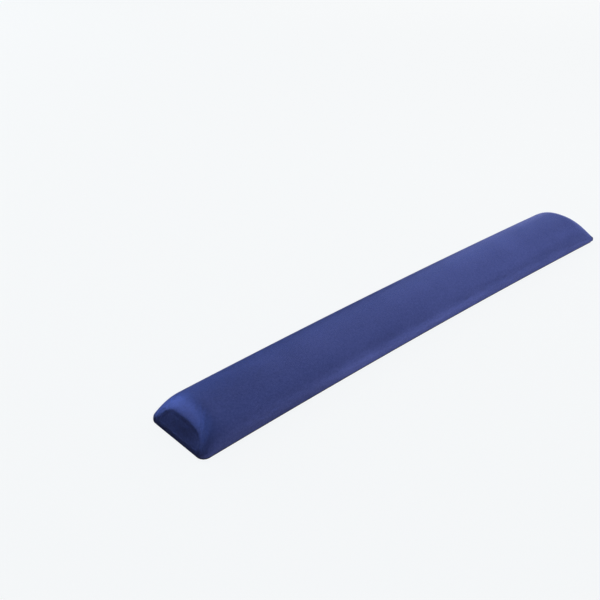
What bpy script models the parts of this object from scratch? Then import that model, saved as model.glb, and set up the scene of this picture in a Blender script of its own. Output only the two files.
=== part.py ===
"""Keyboard wrist rest: a soft foam bar on a stiff board, wrapped in one piece of stretch-knit cloth.

The bar has a D-shaped section and lies along X. Its left and right ends are drawn in: a round crest ends in
a steep, slightly hollow face in the shape of a D, which comes down to the rim of the board. The cloth goes
over the bar and round the rim, and is glued under the board as a hem. A non-slip sheet covers the
hem from below. The whole pad is bowed a little in plan: its middle is nearer the keyboard, at +Y, than its
ends are.

Metres, +Z up, origin at the centre of the underside. The constants below are in millimetres.
"""

import math

import bmesh
import bpy

MM = 0.001

# Driving dimensions of the pad.
LENGTH = 470.0
WIDTH = 60.0
HEIGHT = 24.4
LEFT_CORNER_RADIUS = 7.0
RIGHT_CORNER_RADIUS = 2.0
PLAN_BOW = 3.5
HEM_WIDTH = 9.0

# Thickness of each layer, and the clearance between two layers.
NON_SLIP_THICKNESS = 0.9
ADHESIVE_THICKNESS = 0.1
CLOTH_THICKNESS = 0.5
BOARD_THICKNESS = 1.0
CLEARANCE = 0.3

# Section of the dome across: (1 - |v| ** SECTION_POWER) ** SECTION_ROUNDNESS, with v from -1 to 1.
SECTION_POWER = 2.23
SECTION_ROUNDNESS = 0.55

# Ends of the dome: a steep and slightly hollow face in the shape of a D cuts off the round crest. Distances
# are from the rim, and the rest are shares of the dome's half width or height.
END_LENGTH = 23.0
CREST_START = 0.4
CREST_POWER = 2.4
CREST_FULLNESS = 0.8
FACE_DEPTH = 6.8
CORNER_FACE_DEPTH = 1.0
FACE_HALF_WIDTH = 0.72
FACE_SHIFT = 0.08
FACE_SQUARENESS = 8.0
FACE_HOLLOW = 1.15
FACE_END = 6.0
FACE_EDGE_SHARPNESS = 9.0

# How far each layer stays inside the cloth's outline, and how far the foam's ends stay behind the cloth's.
NON_SLIP_INSET = 1.3
BASE_ADHESIVE_INSET = 1.8
HEM_ADHESIVE_INSET = 1.4
BOARD_INSET = 1.1
CORE_INSET = 1.45
CORE_END_INSET = 1.0
CORE_END_SHIFT = 1.8
CORE_FOOT = 0.4
SMALLEST_RADIUS = 1.5

# Heights of the layers, from the desk up.
BASE_ADHESIVE_Z = NON_SLIP_THICKNESS + CLEARANCE
HEM_Z = BASE_ADHESIVE_Z + ADHESIVE_THICKNESS + CLEARANCE
HEM_ADHESIVE_Z = HEM_Z + CLOTH_THICKNESS + CLEARANCE
BOARD_Z = HEM_ADHESIVE_Z + ADHESIVE_THICKNESS + CLEARANCE
CORE_ADHESIVE_Z = BOARD_Z + BOARD_THICKNESS + CLEARANCE
CORE_Z = CORE_ADHESIVE_Z + ADHESIVE_THICKNESS + CLEARANCE
DOME_Z = CORE_ADHESIVE_Z + CLOTH_THICKNESS
CORE_TOP_Z = HEIGHT - CLOTH_THICKNESS - CLEARANCE - 0.1

# Fineness of the meshes.
END_ROWS = 12
MIDDLE_ROWS = 12
COLUMNS = 24
ROW_CROWDING = 1.5
CORNER_SEGMENTS = 6
SIDE_SEGMENTS = 16


def clear_scene():
    for old in list(bpy.data.objects):
        bpy.data.objects.remove(old, do_unlink=True)


def make_material(name, colour, roughness):
    material = bpy.data.materials.new(name)
    material.use_nodes = True
    shader = material.node_tree.nodes["Principled BSDF"]
    shader.inputs["Base Color"].default_value = (*colour, 1.0)
    shader.inputs["Roughness"].default_value = roughness
    shader.inputs["Metallic"].default_value = 0.0
    return material


def make_object(name, bm, material):
    """Turns a bmesh in millimetres into an object in metres with one material."""
    bmesh.ops.scale(bm, vec=(MM, MM, MM), verts=bm.verts)
    bmesh.ops.recalc_face_normals(bm, faces=bm.faces)
    mesh = bpy.data.meshes.new(name)
    bm.to_mesh(mesh)
    bm.free()
    mesh.materials.append(material)
    obj = bpy.data.objects.new(name, mesh)
    bpy.context.scene.collection.objects.link(obj)
    return obj


def raise_faces(bm, faces, height):
    """Extrudes faces into a closed body, and returns the raised vertices."""
    made = bmesh.ops.extrude_face_region(bm, geom=faces)["geom"]
    verts = [item for item in made if isinstance(item, bmesh.types.BMVert)]
    bmesh.ops.translate(bm, vec=(0.0, 0.0, height), verts=verts)
    return verts


# Plan shape


def bowed(x, y):
    """Moves a plan point sideways by the pad's bow. The bowed pad stays centred on the origin."""
    bow = 1.0 - (2.0 * x / LENGTH) ** 2
    bow_at_corner = 1.0 - (1.0 - 2.0 * RIGHT_CORNER_RADIUS / LENGTH) ** 2
    return x, y + PLAN_BOW * (bow - (1.0 + bow_at_corner) / 2.0)


def corner_radius(inset, side):
    """Radius of the inset outline's corners on the left, for a side of -1, or on the right, for 1."""
    return max((LEFT_CORNER_RADIUS if side < 0 else RIGHT_CORNER_RADIUS) - inset, SMALLEST_RADIUS)


def half_length(y, inset, side):
    """Reach of the inset outline to the left or right at y from its centre line: less in the round corners."""
    radius = corner_radius(inset, side)
    into_corner = max(abs(y) - (WIDTH / 2.0 - inset - radius), 0.0)
    return LENGTH / 2.0 - inset - radius + math.sqrt(max(radius**2 - into_corner**2, 0.0))


def outline(inset, end_inset=0.0):
    """Points of the inset outline, anticlockwise: at each side a round corner, then a bowed side or an end."""
    points = []
    for corner, (side_x, side_y) in enumerate(((1, 1), (-1, 1), (-1, -1), (1, -1))):
        radius = corner_radius(inset, side_x)
        x = LENGTH / 2.0 - inset - end_inset - radius
        y = WIDTH / 2.0 - inset - radius
        for i in range(CORNER_SEGMENTS + 1):
            angle = math.pi / 2.0 * (corner + i / CORNER_SEGMENTS)
            points.append((side_x * x + radius * math.cos(angle), side_y * y + radius * math.sin(angle)))
        if side_x == side_y:
            start_x, start_y = points[-1]
            for i in range(1, SIDE_SEGMENTS):
                points.append((start_x * (1.0 - 2.0 * i / SIDE_SEGMENTS), start_y))
    return [bowed(*point) for point in points]


# Dome


def end_rows(start):
    """Distances of the mesh rows from the dome's end. They crowd together at the foot of the face."""
    rise = END_LENGTH - start
    rows = [start + rise * (i / END_ROWS) ** ROW_CROWDING for i in range(END_ROWS + 1)]
    return [0.0, *rows] if start else rows


def grid_point(row, column, inset, end_inset, rows):
    """The plan point of a mesh row and column, its place v across, and its distance from the end."""
    last = 2 * (len(rows) - 1) + MIDDLE_ROWS
    side = -1.0 if row <= last / 2 else 1.0
    from_end = min(row, last - row)
    v = math.sin(math.pi * (column / COLUMNS - 0.5))
    y = v * (WIDTH / 2.0 - inset)
    end = half_length(y, inset, side) - end_inset
    if from_end < len(rows):
        distance = rows[from_end]
    else:
        share = (from_end - len(rows) + 1) / (MIDDLE_ROWS / 2)
        distance = rows[-1] + (end - rows[-1]) * share
    return side * (end - distance), y, v, distance


def rounded_lower(first, second):
    """The lower of two heights, with the edge where they meet rounded off."""
    if min(first, second) <= 0.0:
        return 0.0
    inverse = first**-FACE_EDGE_SHARPNESS + second**-FACE_EDGE_SHARPNESS
    return inverse ** (-1.0 / FACE_EDGE_SHARPNESS)


def crest_height(v, distance):
    """The share of its full height that the round crest has at v across and at a distance from the rim."""
    section = max(1.0 - abs(v) ** SECTION_POWER, 0.0) ** SECTION_ROUNDNESS
    along = min(max((distance - CREST_START) / (END_LENGTH - CREST_START), 0.0), 1.0)
    return section * (1.0 - (1.0 - along) ** CREST_POWER) ** CREST_FULLNESS


def dome_height(v, distance):
    """The share of its full height that the dome has: the crest, cut off by the face as far as its edge."""
    beside = min(abs(v + FACE_SHIFT) / FACE_HALF_WIDTH, 1.0) ** FACE_SQUARENESS
    edge = FACE_DEPTH + (CORNER_FACE_DEPTH - FACE_DEPTH) * beside
    up_face = max(distance, 0.0) / edge
    beyond_edge = 1.0 + FACE_END * max(up_face - 1.0, 0.0)
    face = crest_height(v, edge) * up_face**FACE_HOLLOW * beyond_edge
    return rounded_lower(crest_height(v, distance), face)


def make_dome(bm, inset, end_inset, start, low_z, top_z):
    """Adds the dome as a grid, and returns its rows. Vertex layers keep each row, column and inset."""
    row_layer = bm.verts.layers.int.new("row")
    column_layer = bm.verts.layers.int.new("column")
    inset_layer = bm.verts.layers.float.new("inset")
    rows = end_rows(start)
    row_count = 2 * (len(rows) - 1) + MIDDLE_ROWS
    grid = bmesh.ops.create_grid(bm, x_segments=row_count, y_segments=COLUMNS, size=1.0)
    for vert in grid["verts"]:
        vert[row_layer] = round((vert.co.x + 1.0) / 2.0 * row_count)
        vert[column_layer] = round((vert.co.y + 1.0) / 2.0 * COLUMNS)
        vert[inset_layer] = inset
        x, y, v, distance = grid_point(vert[row_layer], vert[column_layer], inset, end_inset, rows)
        height = (top_z - low_z) * dome_height(v, distance)
        vert.co = (*bowed(x, y), low_z + height)
    return rows


def extrude_rim(bm, edges, inset, z, rows):
    """Carries the cloth's open rim on to another inset and height, and returns the new rim."""
    row_layer = bm.verts.layers.int["row"]
    column_layer = bm.verts.layers.int["column"]
    inset_layer = bm.verts.layers.float["inset"]
    made = bmesh.ops.extrude_edge_only(bm, edges=edges)["geom"]
    for item in made:
        if isinstance(item, bmesh.types.BMVert):
            item[inset_layer] = inset
            x, y, _, _ = grid_point(item[row_layer], item[column_layer], inset, 0.0, rows)
            item.co = (*bowed(x, y), z)
    return [item for item in made if isinstance(item, bmesh.types.BMEdge) and item.is_boundary]


def thicken_inwards(bm, thickness, rows):
    """Gives the cloth an inner face: lower than the dome, inside the rim and above the hem."""
    row_layer = bm.verts.layers.int["row"]
    column_layer = bm.verts.layers.int["column"]
    inset_layer = bm.verts.layers.float["inset"]
    for vert in raise_faces(bm, bm.faces[:], 0.0):
        inset = max(vert[inset_layer], thickness)
        x, y, _, _ = grid_point(vert[row_layer], vert[column_layer], inset, 0.0, rows)
        above = vert.co.z >= DOME_Z - CLEARANCE
        vert.co = (*bowed(x, y), vert.co.z - thickness if above else vert.co.z + thickness)


# Sub-parts


def make_cover_cloth():
    """One cloth: dome, band round the board's rim and hem under it, open below."""
    bm = bmesh.new()
    rows = make_dome(bm, 0.0, 0.0, CREST_START, DOME_Z, HEIGHT)
    rim = [edge for edge in bm.edges if edge.is_boundary]
    rim = extrude_rim(bm, rim, 0.0, HEM_Z, rows)
    extrude_rim(bm, rim, HEM_WIDTH, HEM_Z, rows)
    thicken_inwards(bm, CLOTH_THICKNESS, rows)
    make_object("cover_cloth", bm, make_material("blue_stretch_knit", (0.045, 0.06, 0.25), 0.75))


def make_foam_core():
    """The soft bar under the cloth, flat below."""
    bm = bmesh.new()
    make_dome(bm, CORE_INSET, CORE_END_INSET, 0.0, CORE_Z, CORE_Z)
    raised = raise_faces(bm, bm.faces[:], CORE_FOOT)
    row_layer = bm.verts.layers.int["row"]
    column_layer = bm.verts.layers.int["column"]
    rows = end_rows(0.0)
    for vert in raised:
        place = (vert[row_layer], vert[column_layer])
        _, _, v, distance = grid_point(*place, CORE_INSET, CORE_END_INSET, rows)
        from_rim = distance + CORE_INSET + CORE_END_INSET - CORE_END_SHIFT
        vert.co.z += (CORE_TOP_Z - CORE_Z - CORE_FOOT) * dome_height(v, from_rim)
    make_object("foam_core", bm, make_material("memory_foam", (0.75, 0.68, 0.5), 0.95))


def make_sheet(name, material, inset, low_z, thickness, end_inset=0.0):
    """A flat sheet of one of the layers."""
    bm = bmesh.new()
    face = bm.faces.new([bm.verts.new((*point, low_z)) for point in outline(inset, end_inset)])
    raise_faces(bm, [face], thickness)
    make_object(name, bm, material)


def make_border_sheet(name, material, inset, inner_inset, low_z, thickness):
    """A flat sheet with one large window, which leaves a border all round."""
    bm = bmesh.new()
    loops = []
    for points in (outline(inset), outline(inner_inset)):
        verts = [bm.verts.new((*point, low_z)) for point in points]
        loops += [bm.edges.new((verts[i - 1], verts[i])) for i in range(len(verts))]
    faces = bmesh.ops.bridge_loops(bm, edges=loops)["faces"]
    raise_faces(bm, faces, thickness)
    make_object(name, bm, material)


def main():
    clear_scene()
    make_cover_cloth()
    make_foam_core()
    board = make_material("grey_board", (0.35, 0.35, 0.36), 0.5)
    make_sheet("base_board", board, BOARD_INSET, BOARD_Z, BOARD_THICKNESS)
    rubber = make_material("black_rubber", (0.02, 0.02, 0.022), 0.8)
    make_sheet("non_slip_base", rubber, NON_SLIP_INSET, 0.0, NON_SLIP_THICKNESS)
    film = make_material("adhesive_film", (0.8, 0.76, 0.62), 0.3)
    make_sheet("core_adhesive", film, CORE_INSET, CORE_ADHESIVE_Z, ADHESIVE_THICKNESS, CORE_END_INSET)
    make_sheet("base_adhesive", film, BASE_ADHESIVE_INSET, BASE_ADHESIVE_Z, ADHESIVE_THICKNESS)
    inner = HEM_WIDTH - CLEARANCE
    make_border_sheet("hem_adhesive", film, HEM_ADHESIVE_INSET, inner, HEM_ADHESIVE_Z, ADHESIVE_THICKNESS)


main()
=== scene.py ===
"""The looks of a keyboard wrist rest: a stretch-knit cover over a foam bar, on a board with a grip sheet."""

import math

import bmesh
import bpy
import numpy as np
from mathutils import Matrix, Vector


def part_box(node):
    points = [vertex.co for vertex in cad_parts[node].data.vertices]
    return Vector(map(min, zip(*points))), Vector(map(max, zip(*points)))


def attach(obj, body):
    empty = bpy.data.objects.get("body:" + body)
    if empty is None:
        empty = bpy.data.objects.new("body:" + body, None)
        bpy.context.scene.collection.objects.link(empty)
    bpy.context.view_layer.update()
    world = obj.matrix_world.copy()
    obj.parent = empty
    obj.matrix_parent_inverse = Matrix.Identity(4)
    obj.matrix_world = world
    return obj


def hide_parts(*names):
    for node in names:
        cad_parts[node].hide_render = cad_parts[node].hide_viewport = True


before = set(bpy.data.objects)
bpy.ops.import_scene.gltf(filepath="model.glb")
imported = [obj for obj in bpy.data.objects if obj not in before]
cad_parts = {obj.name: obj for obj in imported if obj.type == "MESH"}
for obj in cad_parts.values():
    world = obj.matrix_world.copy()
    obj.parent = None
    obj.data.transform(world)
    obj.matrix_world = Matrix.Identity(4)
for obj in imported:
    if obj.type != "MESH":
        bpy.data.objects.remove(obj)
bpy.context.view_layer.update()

MM = 0.001

# Differences below this are rounding.
TOLERANCE = 1e-6

# Places and sizes from the frame, in millimetres.
cover_low, cover_high = (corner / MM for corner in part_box("cover_cloth"))
_, board_high = (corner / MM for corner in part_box("base_board"))
_, grip_high = (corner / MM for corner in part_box("non_slip_base"))
foam_low, foam_high = (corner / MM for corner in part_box("foam_core"))
LENGTH = cover_high.x - cover_low.x
HEIGHT = cover_high.z
HEM_Z = cover_low.z

# The pad's shape, as the design has it, in millimetres.
CLEARANCE = 0.3
PLAN_BOW = 3.5
LEFT_CORNER_RADIUS = 7.0
RIGHT_CORNER_RADIUS = 2.0
SMALLEST_RADIUS = 1.5
BOW_AT_CORNER = 1.0 - (1.0 - 2.0 * RIGHT_CORNER_RADIUS / LENGTH) ** 2
WIDTH = cover_high.y - cover_low.y - PLAN_BOW * (1.0 - BOW_AT_CORNER)
CLOTH_THICKNESS = 0.5
HEM_WIDTH = 9.0
DOME_Z = board_high.z + CLEARANCE + CLOTH_THICKNESS
SECTION_POWER = 2.23
SECTION_ROUNDNESS = 0.55

# Ends of the dome: a steep and slightly hollow face in the shape of a D cuts off the round crest.
# Distances are in millimetres from the rim, and the rest are shares of the dome's half width or height.
END_LENGTH = 23.0
CREST_START = 0.4
CREST_POWER = 2.4
CREST_FULLNESS = 0.8
FACE_DEPTH = 6.8
FACE_DEPTH_AT_CORNER = 1.0
FACE_HALF_WIDTH = 0.72
FACE_SHIFT = 0.08
FACE_SQUARENESS = 8.0
FACE_HOLLOW = 1.15
FACE_END = 6.0
FACE_EDGE_SHARPNESS = 9.0
LEAST_SHARE = 1e-5

# The cover's mesh: rows follow each other along the pad, columns across it. Steps are in millimetres.
COLUMNS = 72
MIDDLE_ROWS = 150
END_STEP = 0.42
END_STEP_GROWTH = 1.03

# The cloth round the board's rim, from the dome's foot to the hem's inner edge: inset at the sides, inset at
# the ends, and height. The turn over the rim is rounder at the ends.
RIM_STEPS = (
    (0.12, 0.5, DOME_Z),
    (0.1, 0.32, DOME_Z - 0.4),
    (0.06, 0.18, DOME_Z - 0.8),
    (0.03, 0.08, DOME_Z - 1.2),
    (0.0, 0.02, DOME_Z - 1.65),
    (0.0, 0.0, DOME_Z - 2.1),
    (0.0, 0.0, HEM_Z + 0.75),
    (0.04, 0.04, HEM_Z + 0.45),
    (0.18, 0.18, HEM_Z + 0.18),
    (0.42, 0.42, HEM_Z + 0.04),
    (0.75, 0.75, HEM_Z),
    (1.8, 1.8, HEM_Z),
    (3.6, 3.6, HEM_Z),
    (6.0, 6.0, HEM_Z),
    (HEM_WIDTH, HEM_WIDTH, HEM_Z),
)

# The hidden layers: insets, how far the foam's end shape is set inwards, and the height of the foam's upright
# foot.
FOAM_SIDE_INSET = 1.45
FOAM_END_INSET = 2.45
FOAM_END_SHIFT = 1.8
FOAM_FOOT_HEIGHT = 0.15
GRIP_INSET = 1.3

# The grip sheet's pips: pitch, height, radii of the foot and the top, and the plain margin's width. Each pip
# stands in a square cell, whose border has as many lattice points as the pip has sides.
PIP_PITCH = 3.2
PIP_HEIGHT = 0.3
PIP_FOOT = 0.95
PIP_TOP = 0.6
PIP_FIELD_INSET = 3.0
CELL_BORDER = ((-1, -1), (0, -1), (1, -1), (1, 0), (1, 1), (0, 1), (-1, 1), (-1, 0))
PIP_SIDES = len(CELL_BORDER)

# The knit: pitches of its wales and courses and sizes of its unevenness in millimetres, and its colours,
# between which the stitches' painted shade also runs.
WALE_PITCH = 0.8
COURSE_PITCH = 0.6
LEG_SLANT = 0.9
STITCH_DEPTH = 0.1
STITCH_STRENGTH = 0.5
MOTTLE_SIZE = 1.6
MOTTLE_DEPTH = 0.06
DYE_SIZE = 40.0
KNIT_DARK = (0.058, 0.080, 0.288)
KNIT_LIGHT = (0.113, 0.149, 0.480)
KNIT_METALLIC = 0.85
KNIT_SHEEN_TINT = (0.55, 0.65, 1.0, 1.0)
KNIT_ROUGHNESS = (0.43, 0.5)

# The other materials: darker and lighter colour, sizes and depths of the grain in millimetres, how flow marks
# are drawn out along the pad, and range of roughness.
FOAM_COLOURS = ((0.62, 0.56, 0.42), (0.78, 0.73, 0.6))
FOAM_TONE_SIZE = 12.0
PORE_SIZE = 1.1
PORE_DEPTH = 0.25
FOAM_ROUGHNESS = (0.95, 0.8)
BOARD_COLOURS = ((0.012, 0.012, 0.013), (0.022, 0.022, 0.024))
BOARD_GRAIN_SIZE = 0.35
BOARD_GRAIN_DEPTH = 0.02
BOARD_FLOW_SIZE = 6.0
BOARD_FLOW_STRETCH = (0.15, 1.0, 1.0)
BOARD_ROUGHNESS = (0.42, 0.6)
RUBBER_COLOURS = ((0.014, 0.014, 0.015), (0.05, 0.048, 0.045))
RUBBER_GRAIN_SIZE = 0.25
RUBBER_GRAIN_DEPTH = 0.03
DUST_SIZE = 9.0
DUST_SPAN = (0.45, 0.8)
RUBBER_ROUGHNESS = (0.7, 0.9)
RUBBER_SPECULAR = 0.35
GLUE_COLOURS = ((0.45, 0.36, 0.2), (0.62, 0.54, 0.36))
GLUE_FLOW_SIZE = 3.0
GLUE_FLOW_DEPTH = 0.03
GLUE_FLOW_STRETCH = (0.2, 1.0, 1.0)
GLUE_ROUGHNESS = (0.2, 0.45)
NOISE_SPAN = (0.3, 0.7)

# The camera, where the photograph's was: place and aim in millimetres, lens, and nearest visible distance in
# metres.
CAMERA_PLACE = (-471.29, -381.11, 367.53)
CAMERA_AIM = (-48.05, 78.67, 0.0)
CAMERA_LENS = 51.0
CAMERA_CLIP_START = 0.01

# Tints of the lights.
NEUTRAL = (1.0, 1.0, 1.0)
COOL = (0.7, 0.9, 1.0)
WARM = (1.0, 0.93, 0.84)
FLOOR_TINT = (1.0, 0.75, 0.5)

# Soft lights that face the pad: azimuth and elevation in degrees, distance and size in metres, power, tint.
# Those on the left put the sheen on the left end's crest, and the rest make the even tone of the pad.
LIGHTS = (
    ("left_back", 127.0, 37.0, 1.6, 0.5, 3.0, WARM),
    ("left_high", 165.0, 60.0, 1.6, 0.5, 4.2, COOL),
    ("back_low", 109.0, 12.0, 1.6, 0.5, 2.9, COOL),
    ("back", 90.0, 18.0, 1.6, 0.9, 3.9, COOL),
    ("back_right", 40.0, 18.0, 1.6, 0.9, 3.0, WARM),
    ("back_top", 60.0, 30.0, 1.6, 0.9, 0.96, WARM),
    ("right", 10.0, 18.0, 1.6, 0.9, 3.0, WARM),
    ("right_near", -23.0, 28.0, 0.86, 0.5, 0.96, WARM),
    ("right_top", 16.0, 58.7, 0.7, 0.4, 0.58, WARM),
    ("front_right", -60.0, 35.0, 1.6, 0.9, 1.1, NEUTRAL),
    ("front_top", -90.0, 60.0, 1.6, 0.9, 1.6, COOL),
    ("front_left", -150.0, 30.0, 1.6, 0.9, 0.82, WARM),
)
# Panels that stand for the pale floor's own light on low places: place, length and width in metres, power,
# tint. They lie a little below the floor, and face up.
FLOOR_LIGHTS = (
    ("floor_all", 0.0, 0.0, 2.0, 2.0, 1.2, FLOOR_TINT),
    ("floor_right", 0.65, 0.1, 0.6, 0.6, 3.5, WARM),
    ("floor_front", 0.05, -0.34, 0.6, 0.3, 2.1, NEUTRAL),
    ("floor_front_right", 0.23, -0.16, 0.22, 0.08, 0.245, WARM),
    ("floor_near_middle", 0.0, -0.098, 0.2, 0.045, 0.049, WARM),
    ("floor_beside_middle", 0.0, -0.056, 0.2, 0.038, 0.02, WARM),
    ("floor_beside_right", 0.2, -0.056, 0.2, 0.038, 0.019, WARM),
    ("floor_beside_left", -0.2, -0.07, 0.2, 0.07, 0.018, WARM),
)
FLOOR_LIGHT_DEPTH = 0.01

# The stage: its glow's colour, how pale its paint is, its radius in metres, the segments round it, and how far
# the floor lies below the pad in metres.
STAGE_COLOUR = (0.875, 0.891, 0.903)
STAGE_ALBEDO = 0.08
STAGE_RADIUS = 8.0
STAGE_SEGMENTS = 64
FLOOR_DEPTH = 0.00002


# Shape of the pad


def bowed(x, y):
    """Moves plan points sideways by the pad's bow, which is centred on the origin."""
    bow = 1.0 - (2.0 * x / LENGTH) ** 2
    return y + PLAN_BOW * (bow - (1.0 + BOW_AT_CORNER) / 2.0)


def corner_radius(side, inset):
    """Radius of the inset outline's corners, where side is negative on the left and positive on the right."""
    radius = np.where(np.asarray(side) < 0.0, LEFT_CORNER_RADIUS, RIGHT_CORNER_RADIUS)
    return np.maximum(radius - inset, SMALLEST_RADIUS)


def round_corner(across, half_extent, half_across, radius):
    """Half the extent of a round-cornered rectangle at a place across it."""
    into_corner = np.clip(np.abs(across) - (half_across - radius), 0.0, radius)
    return half_extent - radius + np.sqrt(radius**2 - into_corner**2)


def half_length(side, y, side_inset, end_inset):
    """Reach of the inset outline to one side at y from its centre line: less in the round corners."""
    radius = corner_radius(side, 0.5 * (side_inset + end_inset))
    return round_corner(y, LENGTH / 2.0 - end_inset, WIDTH / 2.0 - side_inset, radius)


def half_width(x, side_inset, end_inset):
    """Half the width of the inset outline at x from its middle: less in the round corners."""
    radius = corner_radius(x, 0.5 * (side_inset + end_inset))
    return round_corner(x, WIDTH / 2.0 - side_inset, LENGTH / 2.0 - end_inset, radius)


def section(v):
    """The dome's height across, as a share, for v from -1 at one side to 1 at the other."""
    return np.maximum(1.0 - np.abs(v) ** SECTION_POWER, 0.0) ** SECTION_ROUNDNESS


def crest_share(v, distance):
    """The round crest's height, as a share of the dome's, at v across and a distance from its end."""
    along = np.clip((distance - CREST_START) / (END_LENGTH - CREST_START), 0.0, 1.0)
    return section(v) * (1.0 - (1.0 - along) ** CREST_POWER) ** CREST_FULLNESS


def dome_share(v, distance):
    """The dome's height, as a share: the crest, cut off by the face as far in as the face's edge."""
    beside = np.minimum(np.abs(v + FACE_SHIFT) / FACE_HALF_WIDTH, 1.0) ** FACE_SQUARENESS
    edge = FACE_DEPTH + (FACE_DEPTH_AT_CORNER - FACE_DEPTH) * beside
    up_face = np.maximum(distance, 0.0) / edge
    beyond_edge = 1.0 + FACE_END * np.maximum(up_face - 1.0, 0.0)
    face = crest_share(v, edge) * up_face**FACE_HOLLOW * beyond_edge
    return rounded_lower(crest_share(v, distance), face, FACE_EDGE_SHARPNESS)


def rounded_lower(first, second, sharpness):
    """The lower of two heights, with the edge where they meet rounded off."""
    inverse = (first + LEAST_SHARE) ** -sharpness + (second + LEAST_SHARE) ** -sharpness
    return inverse ** (-1.0 / sharpness) - LEAST_SHARE


def end_distances():
    """Distances of the end's mesh rows from the rim, closest together at the foot."""
    distances = [0.0]
    step = END_STEP
    while distances[-1] < END_LENGTH:
        distances.append(distances[-1] + step)
        step *= END_STEP_GROWTH
    return np.array(distances)


# Meshes


class Grid:
    """Rows and columns over the pad's outline. The rows crowd at the ends, the columns at the sides."""

    def __init__(self, columns, middle_rows):
        self.end = end_distances()
        self.rows = 2 * (len(self.end) - 1) + middle_rows
        self.row, column = np.indices((self.rows + 1, columns + 1))
        self.v = np.sin(math.pi * (column / columns - 0.5))
        self.side = np.where(2 * self.row <= self.rows, -1.0, 1.0)
        self.index = np.arange(self.row.size).reshape(self.row.shape)

    def plan(self, side_inset, end_inset):
        """Unbowed plan places of the vertices over the inset outline, and their distances from its end."""
        y = self.v * (WIDTH / 2.0 - side_inset)
        half = half_length(self.side, y, side_inset, end_inset)
        last = len(self.end) - 1
        from_end = np.minimum(self.row, self.rows - self.row)
        share = np.clip((from_end - last) / (self.rows / 2.0 - last), 0.0, 1.0)
        middle = self.end[last] + (half - self.end[last]) * share
        distance = np.where(from_end <= last, self.end[np.minimum(from_end, last)], middle)
        return self.side * (half - distance), y, distance

    def dome(self, side_inset, end_inset, foot_z, top_z, end_shift=0.0):
        """Points of a dome over the inset outline, as an array of rows by columns by three."""
        x, y, distance = self.plan(side_inset, end_inset)
        share = np.maximum(dome_share(self.v, distance + end_inset - end_shift), 0.0)
        return np.stack([x, bowed(x, y), foot_z + (top_z - foot_z) * share], axis=-1)

    def flat(self, side_inset, end_inset, z):
        """Points of a flat sheet over the inset outline, as an array like dome's."""
        x, y, _ = self.plan(side_inset, end_inset)
        return np.stack([x, bowed(x, y), np.full_like(x, z)], axis=-1)

    def faces(self):
        """Quads of the grid, facing up."""
        index = self.index
        corners = (index[:-1, :-1], index[1:, :-1], index[1:, 1:], index[:-1, 1:])
        return np.stack([corner.ravel() for corner in corners], axis=1)

    def rim(self):
        """Numbers of the vertices on the rim, once round, anticlockwise from above."""
        return border(self.index)


def border(number):
    """The numbers on the border of a table of numbers, once round."""
    return np.concatenate([number[:-1, 0], number[-1, :-1], number[:0:-1, -1], number[0, :0:-1]])


def ring_faces(upper, lower):
    """Quads between two rings of vertices of the same count, facing outwards."""
    return np.stack([upper, lower, np.roll(lower, -1), np.roll(upper, -1)], axis=1)


def make_object(name, points, faces):
    """A smooth-shaded object, from points in millimetres."""
    mesh = bpy.data.meshes.new(name)
    mesh.from_pydata((np.asarray(points) * MM).tolist(), [], [list(map(int, face)) for face in faces])
    mesh.shade_smooth()
    obj = bpy.data.objects.new(name, mesh)
    bpy.context.scene.collection.objects.link(obj)
    return obj


def give_uvs(obj, uvs, name):
    """Gives the mesh a UV map from one place for each vertex."""
    corners = np.zeros(len(obj.data.loops), np.int32)
    obj.data.loops.foreach_get("vertex_index", corners)
    layer = obj.data.uv_layers.new(name=name)
    layer.data.foreach_set("uv", uvs[corners].astype(np.float32).ravel())


def apply_modifiers(obj):
    """Makes the mesh what its modifiers give, and removes them."""
    depsgraph = bpy.context.evaluated_depsgraph_get()
    mesh = bpy.data.meshes.new_from_object(obj.evaluated_get(depsgraph))
    obj.modifiers.clear()
    old = obj.data
    obj.data = mesh
    bpy.data.meshes.remove(old)


def cloth_places(points):
    """Places on the cut cloth, in millimetres, of a grid of points: lengths along the rows and columns."""
    along = np.linalg.norm(np.diff(points, axis=0), axis=2)
    across = np.linalg.norm(np.diff(points, axis=1), axis=2)
    u = np.concatenate([np.zeros((1, points.shape[1])), np.cumsum(along, axis=0)])
    v = np.concatenate([np.zeros((points.shape[0], 1)), np.cumsum(across, axis=1)], axis=1)
    u -= u[len(u) // 2]
    v -= v[:, v.shape[1] // 2][:, None]
    return np.stack([u, v], axis=-1)


def make_cover():
    """The knit: the dome, the turn round the board's rim, and the hem glued under it."""
    grid = Grid(COLUMNS, MIDDLE_ROWS)
    side_inset, end_inset, foot_z = RIM_STEPS[0]
    dome = grid.dome(side_inset, end_inset, foot_z, HEIGHT)
    places = cloth_places(dome).reshape(-1, 2)
    points = [dome.reshape(-1, 3)]
    uvs = [places]
    faces = [grid.faces()]
    upper = grid.rim()
    outward = np.stack([grid.side.ravel()[upper], np.sign(grid.v.ravel()[upper])], axis=1)
    outward = outward * (np.abs(places[upper]) > 0.0)
    for side_inset, end_inset, z in RIM_STEPS[1:]:
        ring = grid.flat(side_inset, end_inset, z).reshape(-1, 3)[grid.rim()]
        start = sum(len(part) for part in points)
        lower = start + np.arange(len(ring))
        last_points = np.concatenate(points)[upper]
        last_uvs = np.concatenate(uvs)[upper]
        step = np.linalg.norm(ring - last_points, axis=1)
        points.append(ring)
        uvs.append(last_uvs + outward * step[:, None])
        faces.append(ring_faces(upper, lower))
        upper = lower
    points = np.concatenate(points)
    cover = make_object("knit_cover", points, np.concatenate(faces))
    give_uvs(cover, np.concatenate(uvs), "cloth")
    return cover


def thicken(obj, thickness):
    """Gives a sheet its thickness, inwards from the modelled face."""
    solidify = obj.modifiers.new("thickness", "SOLIDIFY")
    solidify.thickness = thickness * MM
    solidify.offset = -1.0
    solidify.use_even_offset = True
    apply_modifiers(obj)


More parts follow.
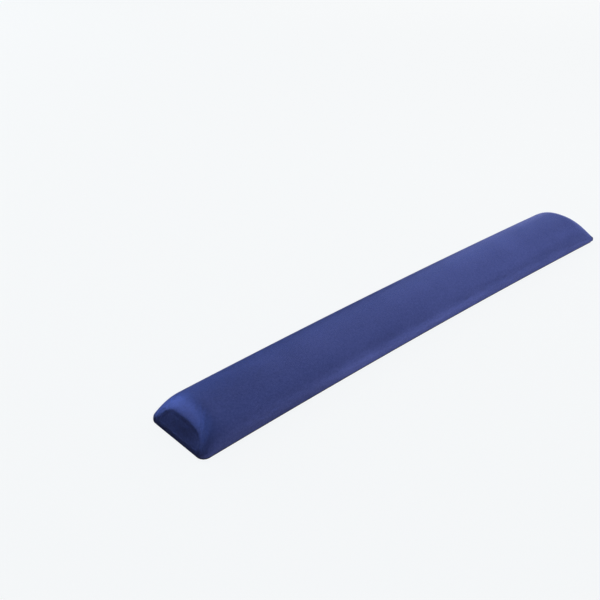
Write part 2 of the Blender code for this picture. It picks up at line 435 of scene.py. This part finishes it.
def make_foam_bar():
    """The foam bar: a closed dome with a flat base, a little inside the cloth."""
    grid = Grid(COLUMNS // 2, MIDDLE_ROWS // 2)
    foot_z = foam_low.z + FOAM_FOOT_HEIGHT
    top = grid.dome(FOAM_SIDE_INSET, FOAM_END_INSET, foot_z, foam_high.z, FOAM_END_SHIFT).reshape(-1, 3)
    base = grid.flat(FOAM_SIDE_INSET, FOAM_END_INSET, foam_low.z).reshape(-1, 3)
    rim = grid.rim()
    faces = np.concatenate([
        grid.faces(),
        grid.faces()[:, ::-1] + len(top),
        ring_faces(rim, rim + len(top)),
    ])
    return make_object("foam_bar", np.concatenate([top, base]), faces)


def make_grip_sheet():
    """The rubber sheet underneath: a smooth top, and rows of round pips below within a plain margin."""
    half_x = LENGTH / 2.0 - GRIP_INSET - PIP_FIELD_INSET
    half_y = WIDTH / 2.0 - GRIP_INSET - PIP_FIELD_INSET
    across = int(2.0 * half_y / PIP_PITCH)
    along = int(2.0 * half_x / PIP_PITCH)
    # Lattice of half cells: the even lines are cell borders, the odd ones pass through the pips.
    xs = np.linspace(-half_x, half_x, 2 * along + 1)
    ys = np.linspace(-half_y, half_y, 2 * across + 1)
    number = np.full((len(xs), len(ys)), -1)
    plan = []
    for i, x in enumerate(xs):
        for j, y in enumerate(ys):
            if i % 2 == 0 or j % 2 == 0:
                number[i, j] = len(plan)
                plan.append((x, y))
    lattice = len(plan)
    edge = border(number)
    plan += outline_points(np.array(plan)[edge], half_x, half_y)
    plan = np.array(plan)
    plan[:, 1] = bowed(plan[:, 0], plan[:, 1])
    outer = np.arange(lattice, len(plan))

    foot, top = PIP_HEIGHT, grip_high.z
    lower = np.column_stack([plan, np.full(len(plan), foot)])
    lower[outer, 2] = 0.0
    upper = np.column_stack([plan, np.full(len(plan), top)])
    start = len(lower)
    points = [lower, upper]
    faces = ring_faces(edge + start, outer + start).tolist()
    faces += ring_faces(edge, outer)[:, ::-1].tolist()
    faces += ring_faces(outer + start, outer).tolist()
    count = 2 * start
    turn = np.arange(PIP_SIDES) * 2.0 * math.pi / PIP_SIDES - 3.0 * math.pi / 4.0
    circle = np.stack([np.cos(turn), np.sin(turn)], axis=1)
    for i in range(1, len(xs), 2):
        for j in range(1, len(ys), 2):
            cell = [number[i + di, j + dj] for di, dj in CELL_BORDER]
            faces.append([c + start for c in cell])
            middle = np.array([xs[i], bowed(xs[i], ys[j])])
            foot_ring = np.column_stack([middle + PIP_FOOT * circle, np.full(PIP_SIDES, foot)])
            top_ring = np.column_stack([middle + PIP_TOP * circle, np.zeros(PIP_SIDES)])
            points += [foot_ring, top_ring]
            feet = np.arange(count, count + PIP_SIDES)
            tops = feet + PIP_SIDES
            faces += ring_faces(np.array(cell), feet).tolist()
            faces += ring_faces(feet, tops).tolist()
            faces.append(tops[::-1].tolist())
            count += 2 * PIP_SIDES
    return make_object("grip_sheet", np.concatenate(points), faces)


def outline_points(edge, half_x, half_y):
    """Places on the grip sheet's outline for the places on the edge of the pips' field."""
    points = []
    for x, y in edge:
        slant = (1.0 - math.sqrt(0.5)) * float(corner_radius(x, GRIP_INSET))
        reach_x = (LENGTH / 2.0 - GRIP_INSET - slant) / half_x
        reach_y = (WIDTH / 2.0 - GRIP_INSET - slant) / half_y
        on_side = abs(y) >= half_y - TOLERANCE
        on_end = abs(x) >= half_x - TOLERANCE
        if on_side and not on_end:
            out_x = x * reach_x
            points.append((out_x, math.copysign(float(half_width(out_x, GRIP_INSET, GRIP_INSET)), y)))
        else:
            out_y = y * reach_y
            points.append((math.copysign(float(half_length(x, out_y, GRIP_INSET, GRIP_INSET)), x), out_y))
    return points


# Materials


class Shading:
    """A material under construction: short calls that add nodes and join them."""

    def __init__(self, name):
        self.material = bpy.data.materials.new(name)
        self.material.use_nodes = True
        self.tree = self.material.node_tree
        self.shader = self.tree.nodes["Principled BSDF"]

    def put(self, socket, value):
        """Joins a socket to an input, or sets the input to a plain value."""
        if isinstance(value, bpy.types.NodeSocket):
            self.tree.links.new(value, socket)
        else:
            socket.default_value = value

    def set(self, **inputs):
        """Sets inputs of the Principled shader, by their names with _ for a space."""
        for name, value in inputs.items():
            self.put(self.shader.inputs[name.replace("_", " ")], value)

    def math(self, operation, *values):
        """The result of a sum on values or sockets."""
        node = self.tree.nodes.new("ShaderNodeMath")
        node.operation = operation
        for socket, value in zip(node.inputs, values):
            self.put(socket, value)
        return node.outputs[0]

    def place(self):
        """The place on the object, in millimetres."""
        node = self.tree.nodes.new("ShaderNodeTexCoord")
        return self.scaled(node.outputs["Object"], 1.0 / MM)

    def scaled(self, vector, factor):
        """A vector times a number."""
        node = self.tree.nodes.new("ShaderNodeVectorMath")
        node.operation = "SCALE"
        self.put(node.inputs[0], vector)
        node.inputs["Scale"].default_value = factor
        return node.outputs[0]

    def stretched(self, vector, factors):
        """A vector times a number for each axis."""
        node = self.tree.nodes.new("ShaderNodeVectorMath")
        node.operation = "MULTIPLY"
        self.put(node.inputs[0], vector)
        node.inputs[1].default_value = factors
        return node.outputs[0]

    def noise(self, vector, size, detail=2.0, roughness=0.5):
        """Noise from 0 to 1 with features of that size."""
        node = self.tree.nodes.new("ShaderNodeTexNoise")
        self.put(node.inputs["Vector"], vector)
        node.inputs["Scale"].default_value = 1.0 / size
        node.inputs["Detail"].default_value = detail
        node.inputs["Roughness"].default_value = roughness
        return node.outputs["Fac"]

    def cells(self, vector, size):
        """Distance to the middle of the nearest of many cells of that size."""
        node = self.tree.nodes.new("ShaderNodeTexVoronoi")
        self.put(node.inputs["Vector"], vector)
        node.inputs["Scale"].default_value = 1.0 / size
        return node.outputs["Distance"]

    def ramp(self, value, low, high, to_low=0.0, to_high=1.0):
        """A value from one range taken to another, and kept in it."""
        node = self.tree.nodes.new("ShaderNodeMapRange")
        for name, number in zip(("From Min", "From Max", "To Min", "To Max"), (low, high, to_low, to_high)):
            node.inputs[name].default_value = number
        self.put(node.inputs["Value"], value)
        return node.outputs["Result"]

    def mix(self, factor, first, second):
        """A colour between two colours."""
        node = self.tree.nodes.new("ShaderNodeMix")
        node.data_type = "RGBA"
        self.put(node.inputs["Factor"], factor)
        colours = [socket for socket in node.inputs if socket.type == "RGBA"]
        for socket, colour in zip(colours, (first, second)):
            self.put(socket, colour if isinstance(colour, bpy.types.NodeSocket) else (*colour, 1.0))
        return [socket for socket in node.outputs if socket.type == "RGBA"][0]

    def bump(self, height, depth, strength=1.0, under=None):
        """A normal from a height of 0 to 1 that stands for that depth in millimetres."""
        node = self.tree.nodes.new("ShaderNodeBump")
        node.inputs["Strength"].default_value = strength
        node.inputs["Distance"].default_value = depth * MM
        self.put(node.inputs["Height"], height)
        if under is not None:
            self.put(node.inputs["Normal"], under)
        return node.outputs["Normal"]


def knit_height(knit, u, v):
    """Stitches of a jersey knit: columns of V shapes, each of two slanting legs."""
    wale = knit.math("MULTIPLY", v, 1.0 / WALE_PITCH)
    from_middle = knit.math("ABSOLUTE", knit.math("SUBTRACT", knit.math("FRACT", wale), 0.5))
    slant = knit.math("MULTIPLY", from_middle, LEG_SLANT)
    course = knit.math("FRACT", knit.math("ADD", knit.math("MULTIPLY", u, 1.0 / COURSE_PITCH), slant))
    loop = knit.math("SINE", knit.math("MULTIPLY", course, math.pi))
    leg = knit.math("SINE", knit.math("MULTIPLY", from_middle, 2.0 * math.pi))
    return knit.math("MULTIPLY", loop, knit.ramp(leg, 0.0, 0.7, 0.25, 1.0))


def make_knit_material():
    """Navy stretch knit: fine stitches, slight unevenness of the dye, painted shade in the stitches' hollows
    and a painted highlight on their tops, and a satin, partly metallic sheen.
    """
    knit = Shading("navy_knit")
    uv = knit.tree.nodes.new("ShaderNodeUVMap")
    uv.uv_map = "cloth"
    split = knit.tree.nodes.new("ShaderNodeSeparateXYZ")
    knit.put(split.inputs[0], uv.outputs[0])
    stitches = knit_height(knit, split.outputs["X"], split.outputs["Y"])
    place = knit.place()
    mottle = knit.noise(place, MOTTLE_SIZE, detail=3.0, roughness=0.6)
    dye = knit.noise(place, DYE_SIZE)
    fine = knit.ramp(mottle, *NOISE_SPAN, -0.5, 0.5)
    coarse = knit.ramp(dye, *NOISE_SPAN, -0.25, 0.25)
    # The colour's tone: random unevenness of the dye, plus painted shade in the stitches' hollows and a
    # painted highlight on their tops, from the stitches' relief.
    shade = knit.math("ADD", fine, coarse)
    shade = knit.math("ADD", shade, knit.ramp(stitches, 0.0, 1.0, -0.3, 0.3))
    colour = knit.mix(knit.ramp(shade, -1.0, 1.0), KNIT_DARK, KNIT_LIGHT)
    slow = knit.bump(mottle, MOTTLE_DEPTH)
    knit.set(
        Base_Color=colour,
        Metallic=KNIT_METALLIC,
        Specular_Tint=KNIT_SHEEN_TINT,
        Roughness=knit.ramp(mottle, *NOISE_SPAN, *KNIT_ROUGHNESS),
        Normal=knit.bump(stitches, STITCH_DEPTH, strength=STITCH_STRENGTH, under=slow),
    )
    return knit.material


def make_foam_material():
    """Open-cell foam, cream, with a fine grain of pores."""
    foam = Shading("cream_foam")
    place = foam.place()
    pores = foam.cells(place, PORE_SIZE)
    tone = foam.noise(place, FOAM_TONE_SIZE, detail=4.0)
    foam.set(
        Base_Color=foam.mix(foam.ramp(tone, *NOISE_SPAN), *FOAM_COLOURS),
        Roughness=foam.ramp(pores, 0.0, 0.8, *FOAM_ROUGHNESS),
        Normal=foam.bump(pores, PORE_DEPTH),
    )
    return foam.material


def make_board_material():
    """Moulded plastic board, black, with a fine grain and faint flow marks."""
    board = Shading("black_board")
    place = board.place()
    grain = board.noise(place, BOARD_GRAIN_SIZE, detail=3.0)
    flow = board.noise(board.stretched(place, BOARD_FLOW_STRETCH), BOARD_FLOW_SIZE)
    board.set(
        Base_Color=board.mix(board.ramp(flow, *NOISE_SPAN), *BOARD_COLOURS),
        Roughness=board.ramp(grain, *NOISE_SPAN, *BOARD_ROUGHNESS),
        Normal=board.bump(grain, BOARD_GRAIN_DEPTH),
    )
    return board.material


def make_rubber_material():
    """Black non-slip rubber, matt, with a fine grain and a little dust."""
    rubber = Shading("grip_rubber")
    place = rubber.place()
    grain = rubber.noise(place, RUBBER_GRAIN_SIZE, detail=4.0, roughness=0.6)
    dust = rubber.noise(place, DUST_SIZE, detail=6.0, roughness=0.65)
    rubber.set(
        Base_Color=rubber.mix(rubber.ramp(dust, *DUST_SPAN), *RUBBER_COLOURS),
        Roughness=rubber.ramp(dust, *NOISE_SPAN, *RUBBER_ROUGHNESS),
        Specular_IOR_Level=RUBBER_SPECULAR,
        Normal=rubber.bump(grain, RUBBER_GRAIN_DEPTH),
    )
    return rubber.material


def make_adhesive_material():
    """A thin film of glue, amber, uneven where it was rolled on."""
    glue = Shading("adhesive")
    place = glue.place()
    flow = glue.noise(glue.stretched(place, GLUE_FLOW_STRETCH), GLUE_FLOW_SIZE, detail=4.0)
    glue.set(
        Base_Color=glue.mix(glue.ramp(flow, *NOISE_SPAN), *GLUE_COLOURS),
        Roughness=glue.ramp(flow, *NOISE_SPAN, *GLUE_ROUGHNESS),
        Normal=glue.bump(flow, GLUE_FLOW_DEPTH),
    )
    return glue.material


# Scene


def finish_with(obj, material):
    """Gives the whole object one material."""
    obj.data.materials.clear()
    obj.data.materials.append(material)


def add_pieces():
    """The soft and rubber pieces, each on the root body in place of its CAD node."""
    cover = make_cover()
    thicken(cover, CLOTH_THICKNESS)
    finish_with(cover, make_knit_material())
    foam = make_foam_bar()
    finish_with(foam, make_foam_material())
    grip = make_grip_sheet()
    finish_with(grip, make_rubber_material())
    for piece, node, slot in (
        (cover, "cover_cloth", "stretch_knit"),
        (foam, "foam_core", "memory_foam"),
        (grip, "non_slip_base", "non_slip_rubber"),
    ):
        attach(piece, "root")
        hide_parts(node)


def finish_cad_nodes():
    """Better materials for the CAD nodes that are kept."""
    glue = make_adhesive_material()
    finish_with(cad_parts["base_board"], make_board_material())
    for name in ("core_adhesive", "hem_adhesive", "base_adhesive"):
        finish_with(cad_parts[name], glue)


def add_camera():
    """The scene's camera, aimed at a point on the floor."""
    camera = bpy.data.objects.new("camera", bpy.data.cameras.new("camera"))
    camera.data.lens = CAMERA_LENS
    camera.data.clip_start = CAMERA_CLIP_START
    camera.location = Vector(CAMERA_PLACE) * MM
    aim = Vector(CAMERA_AIM) * MM - camera.location
    camera.rotation_euler = aim.to_track_quat("-Z", "Y").to_euler()
    bpy.context.scene.collection.objects.link(camera)
    bpy.context.scene.camera = camera


def add_light(name, place, facing, size, power, tint):
    """A soft light of that length and width, which faces a way and doesn't show itself."""
    light = bpy.data.lights.new(name, "AREA")
    light.shape = "RECTANGLE"
    light.size, light.size_y = size
    light.energy = power
    light.color = tint
    obj = bpy.data.objects.new(name, light)
    obj.location = place
    obj.rotation_euler = facing.to_track_quat("-Z", "Y").to_euler()
    obj.visible_camera = False
    bpy.context.scene.collection.objects.link(obj)


def add_lights():
    """The soft lights round the pad, and the panels that stand for the floor's light."""
    for name, azimuth, elevation, distance, size, power, tint in LIGHTS:
        azimuth, elevation = math.radians(azimuth), math.radians(elevation)
        flat = math.cos(elevation)
        toward = Vector((flat * math.cos(azimuth), flat * math.sin(azimuth), math.sin(elevation)))
        add_light(name, toward * distance, -toward, (size, size), power, tint)
    for name, x, y, length, width, power, tint in FLOOR_LIGHTS:
        place = Vector((x, y, -FLOOR_LIGHT_DEPTH))
        add_light(name, place, Vector((0.0, 0.0, 1.0)), (length, width), power, tint)


def add_stage():
    """A plain pale floor under a dome of the same paint. Both glow evenly, so that only soft shade shows."""
    bm = bmesh.new()
    bmesh.ops.create_uvsphere(
        bm, u_segments=STAGE_SEGMENTS, v_segments=STAGE_SEGMENTS // 2, radius=STAGE_RADIUS
    )
    below = [vert for vert in bm.verts if vert.co.z < -TOLERANCE]
    bmesh.ops.delete(bm, geom=below, context="VERTS")
    rim = [edge for edge in bm.edges if edge.is_boundary]
    bmesh.ops.contextual_create(bm, geom=rim)
    bmesh.ops.translate(bm, vec=(0.0, 0.0, -FLOOR_DEPTH), verts=bm.verts)
    mesh = bpy.data.meshes.new("stage")
    bm.to_mesh(mesh)
    bm.free()
    stage = bpy.data.objects.new("stage", mesh)
    bpy.context.scene.collection.objects.link(stage)
    paint = Shading("stage")
    paint.set(
        Base_Color=(STAGE_ALBEDO, STAGE_ALBEDO, STAGE_ALBEDO, 1.0),
        Roughness=1.0,
        Specular_IOR_Level=0.0,
        Emission_Color=(*STAGE_COLOUR, 1.0),
        Emission_Strength=1.0,
    )
    finish_with(stage, paint.material)
    stage.visible_diffuse = False
    stage.visible_glossy = False
    stage.visible_shadow = False


def add_world():
    """A dark world: all the light comes from the panels."""
    world = bpy.data.worlds.new("studio")
    world.use_nodes = True
    world.node_tree.nodes["Background"].inputs["Strength"].default_value = 0.0
    bpy.context.scene.world = world


add_pieces()
finish_cad_nodes()
add_camera()
add_lights()
add_stage()
add_world()
bpy.context.scene.view_settings.view_transform = "Standard"
